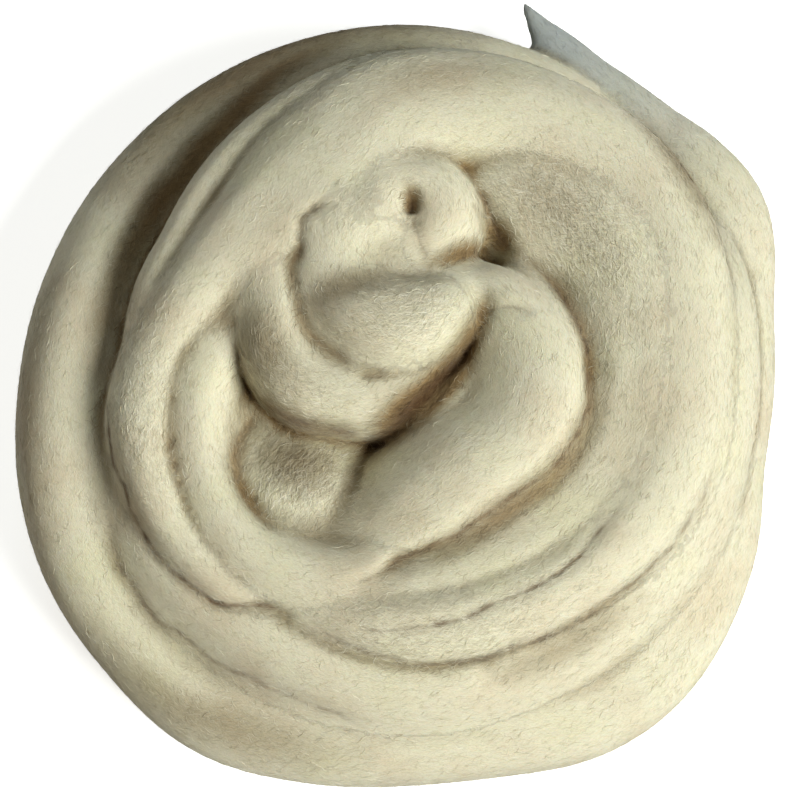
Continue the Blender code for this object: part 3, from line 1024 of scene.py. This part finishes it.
def make_skin(tubes):
    """The skin of the heap, in the row frame."""
    mesh = remeshed(swept_mesh(tubes))
    drop_pockets(mesh)
    points, quads, edges = arrays_of(mesh)
    bpy.data.meshes.remove(mesh)
    points = smoothed(points, edges, SMOOTHING_ROUNDS)
    ahead, length, angle, radius, number = strand_map(tubes, points)

    points, base = in_row_frame(points)
    points = settle(points, quads, edges)
    relief = fold_relief(length, angle, radius, number)[:, None]
    relief = smoothed(relief, edges, FOLD_SMOOTHING)
    points = points + point_normals(points, quads) * relief
    points = smoothed(points, edges, LAST_ROUNDS)
    points[:, 2] = np.maximum(points[:, 2], base)

    strand = np.column_stack((length, angle * radius, PASS_SPACING * number))
    # Painted shade: creases and the SHADED lines are painted darker and browner by this share, which also
    # makes the wool rougher
    hollow_shade = raised(hollows(points, quads, edges), SHADED, points)
    fuzz = raised(LEAST_FUZZ + hollow_shade * HOLLOW_FUZZ, FUZZY, points)
    wisp = wispiness(length, number, edges)
    normals = point_normals(points, quads)
    return Skin(points, quads, normals, ahead, strand, hollow_shade, seam_field(points), fuzz, wisp)


def add_attribute(mesh, name, kind, values):
    """Stores a value for each point of the mesh."""
    field = "vector" if kind == "FLOAT_VECTOR" else "value"
    attribute = mesh.attributes.new(name, kind, "POINT")
    attribute.data.foreach_set(field, np.ascontiguousarray(values, np.float32).ravel())


def add_piece(name, mesh, material):
    """A shown piece of the roving."""
    mesh.materials.append(material)
    mesh.shade_smooth()
    piece = bpy.data.objects.new(name, mesh)
    bpy.context.scene.collection.objects.link(piece)
    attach(piece, BODY)
    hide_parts(NODE)
    return piece


def quad_mesh(name, points, quads):
    """A mesh of quads, from points in millimetres."""
    mesh = bpy.data.meshes.new(name)
    mesh.vertices.add(len(points))
    mesh.vertices.foreach_set("co", (points * MM).astype(np.float32).ravel())
    mesh.loops.add(len(quads) * 4)
    mesh.loops.foreach_set("vertex_index", quads.astype(np.int32).ravel())
    mesh.polygons.add(len(quads))
    mesh.polygons.foreach_set("loop_start", np.arange(len(quads), dtype=np.int32) * 4)
    mesh.update(calc_edges=True)
    return mesh


def add_skin(skin):
    """The piece that shows the skin."""
    mesh = quad_mesh("strand_skin", skin.points, skin.quads)
    for name in ("strand", "seam"):
        add_attribute(mesh, name, "FLOAT_VECTOR", getattr(skin, name))
    for name in ("hollow_shade", "fuzz", "wisp"):
        add_attribute(mesh, name, "FLOAT", getattr(skin, name))
    add_piece("strand_skin", mesh, skin_material())


# The fibres


def chosen_places(skin, count, rng):
    """Places on the skin, most where it is rough, and the quads they lie on. The flat base gets none."""
    corners = skin.points[skin.quads]
    area = np.linalg.norm(np.cross(corners[:, 2] - corners[:, 0], corners[:, 3] - corners[:, 1]), axis=1)
    area[corners[:, :, 2].max(axis=1) < BARE_BASE] = 0
    area *= SMOOTH_SHARE + skin.fuzz[skin.quads[:, 0]]
    quads = rng.choice(len(area), count, p=area / area.sum())
    u, v = rng.random((2, count, 1))
    one, two, three, four = np.moveaxis(corners[quads], 1, 0)
    return (one * (1 - u) + two * u) * (1 - v) + (four * (1 - u) + three * u) * v, quads


def nearest_skin(tree, places):
    """The nearest places on the skin, and the quads they lie on."""
    found = [tree.find_nearest(place) for place in places.tolist()]
    return np.array([hit[0] for hit in found]), np.array([hit[2] for hit in found])


def fibre_paths(skin, tree, coat, count, rng):
    """The points of a coat's fibres, the way the skin faces there, and the quads that they start from."""
    places, start_quads = chosen_places(skin, count, rng)
    heading = skin.ahead[skin.quads[start_quads, 0]] * rng.choice((-1.0, 1.0), (count, 1))
    stray = np.radians(rng.normal(0, coat.spread, (count, 1)))
    swing = np.radians(rng.uniform(*SWINGS, (count, 1)) * coat.crimp)
    phase = rng.uniform(0, 2 * math.pi, (count, 1))
    pace = rng.uniform(*PACES, (count, 1))
    step = coat.step * rng.uniform(*STEPS, (count, 1))
    lift = coat.lift * rng.uniform(*LIFTS, (count, 1))
    paths, facings = [], []
    for k in range(coat.points):
        on_skin, quads = nearest_skin(tree, places)
        normal = unit(skin.normals[skin.quads[quads]].sum(axis=1))
        share = k / (coat.points - 1)
        hump = LEAST_HUMP + (1 - LEAST_HUMP) * math.sin(math.pi * share)
        rise = coat.rise * coat.step * k * rng.uniform(*RISES, (count, 1)) * (1 - RISE_LOSS * share)
        paths.append(on_skin + normal * (lift * hump * (coat.rise == 0) + rise))
        facings.append(normal)
        local = skin.ahead[skin.quads[quads, 0]]
        local = local * np.sign(np.sum(local * heading, axis=1, keepdims=True) + TINY)
        local = unit(local - normal * np.sum(local * normal, axis=1, keepdims=True))
        angle = stray + swing * np.sin(phase + pace * k)
        heading = local * np.cos(angle) + np.cross(normal, local) * np.sin(angle)
        places = on_skin + heading * step
    return np.stack(paths, axis=1), np.stack(facings, axis=1), start_quads


def ribbon_points(paths, facings, rough, coat, rng):
    """The two edges of each fibre, which is a narrow ribbon that tapers to its ends."""
    count, points = paths.shape[:2]
    heading = unit(np.gradient(paths, axis=1))
    across = unit(np.cross(facings, heading))
    tilt = rng.normal(0, 1, (count, 1, 1)) * (SMOOTH_TILT + ROUGH_TILT * rough[:, None, None])
    across = across * np.cos(tilt) + facings * np.sin(tilt)
    taper = np.sqrt(np.sin(math.pi * np.linspace(TAPER_START, 1 - TAPER_START, points)))[None, :, None]
    width = coat.width * rng.uniform(*WIDTHS, (count, 1, 1))
    half = across * width * taper / 2
    return np.stack((paths - half, paths + half), axis=2)


def ribbon_quads(count, points):
    """The quads of ribbons, as numbers of their points."""
    start = np.arange(count)[:, None] * points * 2 + np.arange(points - 1)[None, :] * 2
    return np.stack((start, start + 1, start + 3, start + 2), axis=-1).reshape(-1, 4)


def add_coat(skin, tree, coat, material, rng):
    """The piece that shows a coat of fibres."""
    count = int(coat.count * (1))
    paths, facings, quads = fibre_paths(skin, tree, coat, count, rng)
    rough = skin.fuzz[skin.quads[quads, 0]]
    edges = ribbon_points(paths, facings, rough, coat, rng)
    edges[..., 2] = np.maximum(edges[..., 2], FIBRE_FLOOR)
    mesh = quad_mesh(coat.name, edges.reshape(-1, 3), ribbon_quads(count, coat.points))
    each = coat.points * 2
    add_attribute(mesh, "shade", "FLOAT", np.repeat(rng.random(count), each))
    # The fibres take the painted shade of the skin: dark seams and brown hollows
    add_attribute(mesh, "seam", "FLOAT_VECTOR", seam_field(edges.reshape(-1, 3)))
    for name in ("hollow_shade", "fuzz", "wisp"):
        at_start = getattr(skin, name)[skin.quads[quads, 0]]
        add_attribute(mesh, name, "FLOAT", np.repeat(at_start, each))
    add_piece(coat.name, mesh, material)


# The materials


class Graph:
    """A material's node tree, with short ways to add to it."""

    def __init__(self, name):
        self.material = bpy.data.materials.new(name)
        self.material.use_nodes = True
        self.tree = self.material.node_tree
        self.shader = self.tree.nodes["Principled BSDF"]

    def feed(self, node, inputs):
        """Gives inputs of a node, by name or number, an output of another node or a plain value."""
        for key, value in inputs.items():
            if isinstance(value, bpy.types.NodeSocket):
                self.tree.links.new(value, node.inputs[key])
            else:
                node.inputs[key].default_value = value

    def add(self, kind, inputs, **settings):
        """A new node with its inputs and settings."""
        made = self.tree.nodes.new(kind)
        for name, value in settings.items():
            setattr(made, name, value)
        self.feed(made, inputs)
        return made

    def attribute(self, name, output):
        """A stored value of the mesh."""
        return self.add("ShaderNodeAttribute", {}, attribute_name=name).outputs[output]

    def vector_maths(self, kind, *values, output="Vector"):
        """The result of a calculation. Each value may be an output or a plain vector."""
        return self.add("ShaderNodeVectorMath", dict(enumerate(values)), operation=kind).outputs[output]

    def divided(self, vector, sizes):
        """A vector divided by sizes."""
        return self.vector_maths("DIVIDE", vector, sizes)

    def place(self, size):
        """The place in the heap, as a number of sizes in millimetres."""
        coordinates = self.add("ShaderNodeTexCoord", {}).outputs["Object"]
        return self.divided(coordinates, (size * MM,) * 3)

    def turned(self, vector, degrees, sizes):
        """A vector turned back round its Z axis and divided by sizes."""
        inputs = {"Vector": vector, "Rotation": (0.0, 0.0, math.radians(degrees)), "Scale": sizes}
        return self.add("ShaderNodeMapping", inputs, vector_type="TEXTURE").outputs["Vector"]

    def noise(self, vector, roughness=0.5):
        """Noise of scale 1 over a vector."""
        inputs = {"Vector": vector, "Scale": 1.0, "Detail": 2.0, "Roughness": roughness}
        return self.add("ShaderNodeTexNoise", inputs).outputs["Fac"]

    def ramp(self, value, stops):
        """Colours along a value, as (place, colour) stops."""
        made = self.add("ShaderNodeValToRGB", {"Fac": value})
        elements = made.color_ramp.elements
        while len(elements) < len(stops):
            elements.new(0.5)
        for element, (place, colour) in zip(elements, stops):
            element.position = place
            element.color = colour
        return made.outputs["Color"]

    def mix(self, kind, factor, first, second):
        """Two colours mixed by a factor. Each may be an output or a plain value."""
        inputs = {0: factor, 6: first, 7: second}
        return self.add("ShaderNodeMix", inputs, data_type="RGBA", blend_type=kind).outputs[2]

    def maths(self, kind, *values):
        """The result of a calculation. Each value may be an output or a number."""
        return self.add("ShaderNodeMath", dict(enumerate(values)), operation=kind).outputs["Value"]

    def bump(self, height):
        """Relief from a height in millimetres."""
        inputs = {"Strength": 1.0, "Distance": MM, "Height": height}
        return self.add("ShaderNodeBump", inputs).outputs["Normal"]


def seam_darkness(graph, wander):
    """How dark the painted shade of a seam makes the wool, from 0 to 1. The wander, from 0 to 1, makes its
    edges uneven.
    """
    seam = graph.attribute("seam", "Vector")
    painted_shade = graph.add("ShaderNodeSeparateXYZ", {"Vector": seam}).outputs["Z"]
    flat = graph.vector_maths("MULTIPLY", seam, (1.0, 1.0, 0.0))
    length = graph.vector_maths("LENGTH", flat, output="Value")
    shifted = graph.maths("SUBTRACT", wander, 0.5)
    reached = graph.maths("DIVIDE", graph.maths("ADD", length, shifted), SEAM_REACH)
    broken = graph.ramp(graph.noise(graph.place(BREAK_SIZE)), BREAK_STOPS)
    fading = graph.ramp(reached, SEAM_STOPS)
    return graph.maths("MULTIPLY", fading, graph.maths("MULTIPLY", broken, painted_shade))


def in_creases(graph, colour, darkness):
    """A colour with painted shade: brown in the creases and dark on the seams, where shade falls, and
    painted grey at the thin loose end.
    """
    wisp = graph.ramp(graph.attribute("wisp", "Fac"), WISP_STOPS)
    # Painted shade: the thin loose end is painted grey
    greyed = graph.mix("MIX", wisp, colour, WISP_SHADE_GREY)
    # Painted shade: darker and browner where a crease or a SHADED line lies
    crease_shade = graph.ramp(graph.attribute("hollow_shade", "Fac"), PAINTED_CREASE_SHADE)
    crease_shaded = graph.mix("MULTIPLY", 1.0, greyed, crease_shade)
    # Painted shade: the seam's line is painted dark brown, as the shade in its crease
    return graph.mix("MIX", darkness, crease_shaded, SEAM_SHADE)


def skin_material():
    """Combed wool: streaks along the strand, broad patches, and painted shade: brown creases and dark
    seams.
    """
    graph = Graph("wool_skin")
    strand = graph.attribute("strand", "Vector")
    streaks = graph.noise(graph.divided(strand, STREAK_SIZE), roughness=0.6)
    fine = graph.noise(graph.divided(strand, FINE_SIZE), roughness=0.65)
    grain = graph.mix("MIX", FINE_SHARE, streaks, fine)
    streaked = graph.ramp(grain, STREAK_STOPS)
    layers = [graph.noise(graph.turned(strand, turn, SPECK_SIZE), roughness=0.6) for turn in SPECK_TURNS]
    specks = graph.ramp(graph.maths("MAXIMUM", *layers), SPECK_TINTS)
    specked = graph.mix("MULTIPLY", graph.attribute("fuzz", "Fac"), streaked, specks)
    patches = graph.ramp(graph.noise(graph.place(PATCH_SIZE)), PATCH_TINTS)
    colour = graph.mix("MULTIPLY", 1.0, specked, patches)
    darkness = seam_darkness(graph, streaks)
    ridges = graph.maths("MULTIPLY", grain, GRAIN_RELIEF)
    lines = graph.maths("MULTIPLY", darkness, SEAM_RELIEF)
    relief = graph.bump(graph.maths("SUBTRACT", ridges, lines))
    shown = {"Base Color": in_creases(graph, colour, darkness), "Normal": relief}
    graph.feed(graph.shader, WOOL_SHADER | shown)
    return graph.material


def fibre_material():
    """Single fibres, each a little lighter or darker than the next, with the skin's painted shade in
    creases and on seams.
    """
    graph = Graph("wool_fibre")
    shade = graph.attribute("shade", "Fac")
    smooth = graph.ramp(shade, SMOOTH_STOPS)
    rough = graph.ramp(shade, ROUGH_STOPS)
    colour = graph.mix("MIX", graph.attribute("fuzz", "Fac"), smooth, rough)
    shown = {"Base Color": in_creases(graph, colour, seam_darkness(graph, shade))}
    graph.feed(graph.shader, FIBRE_SHADER | shown)
    return graph.material


# The stage


def aimed(thing, place, target):
    """An object at a place, with its -Z axis towards the target."""
    holder = bpy.data.objects.new(thing.name, thing)
    holder.location = place
    holder.rotation_euler = (Vector(target) - Vector(place)).to_track_quat("-Z", "Y").to_euler()
    bpy.context.scene.collection.objects.link(holder)
    return holder


def add_camera():
    """The camera, in front of the heap and high above it."""
    camera = bpy.data.cameras.new("camera")
    camera.sensor_width = SENSOR
    camera.lens = SENSOR * CAMERA_DISTANCE / (PICTURE_SIDE * METRES_PER_PIXEL)
    elevation = math.radians(CAMERA_ELEVATION)
    away = Vector((0, -math.cos(elevation), math.sin(elevation)))
    place = Vector(CAMERA_TARGET) + away * CAMERA_DISTANCE
    bpy.context.scene.camera = aimed(camera, place, CAMERA_TARGET)


def add_lights():
    """A low soft lamp at the front right, weaker ones at the left and the back, and a faint sky."""
    for lamp in LAMPS:
        light = bpy.data.lights.new(lamp.name, "AREA")
        light.energy = lamp.energy
        light.size = lamp.size
        light.color = lamp.colour
        aimed(light, lamp.place, (0, 0, 0))

    world = bpy.data.worlds.new("sky")
    bpy.context.scene.world = world
    world.use_nodes = True
    background = world.node_tree.nodes["Background"]
    background.inputs["Color"].default_value = SKY_COLOUR
    background.inputs["Strength"].default_value = SKY_STRENGTH


def add_floor():
    """A plain white floor that glows a little, so that shadows on it stay pale."""
    ways = ((-1, -1), (1, -1), (1, 1), (-1, 1))
    corners = [(right * FLOOR_REACH, back * FLOOR_REACH, 0) for right, back in ways]
    mesh = bpy.data.meshes.new("floor")
    mesh.from_pydata(corners, [], [(0, 1, 2, 3)])
    graph = Graph("floor")
    graph.feed(graph.shader, FLOOR_SHADER)
    mesh.materials.append(graph.material)
    floor = bpy.data.objects.new("floor", mesh)
    bpy.context.scene.collection.objects.link(floor)
    floor.visible_diffuse = False


def main():
    """Loads the model and dresses it."""
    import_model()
    bpy.context.scene.view_settings.view_transform = "Standard"
    add_camera()
    add_lights()
    add_floor()
    skin = make_skin([tube_of(strand_pass) for strand_pass in PASSES])
    add_skin(skin)
    tree = BVHTree.FromPolygons(skin.points.tolist(), skin.quads.tolist())
    material = fibre_material()
    rng = np.random.default_rng(SEED)
    for coat in COATS:
        add_coat(skin, tree, coat, material, rng)


main()
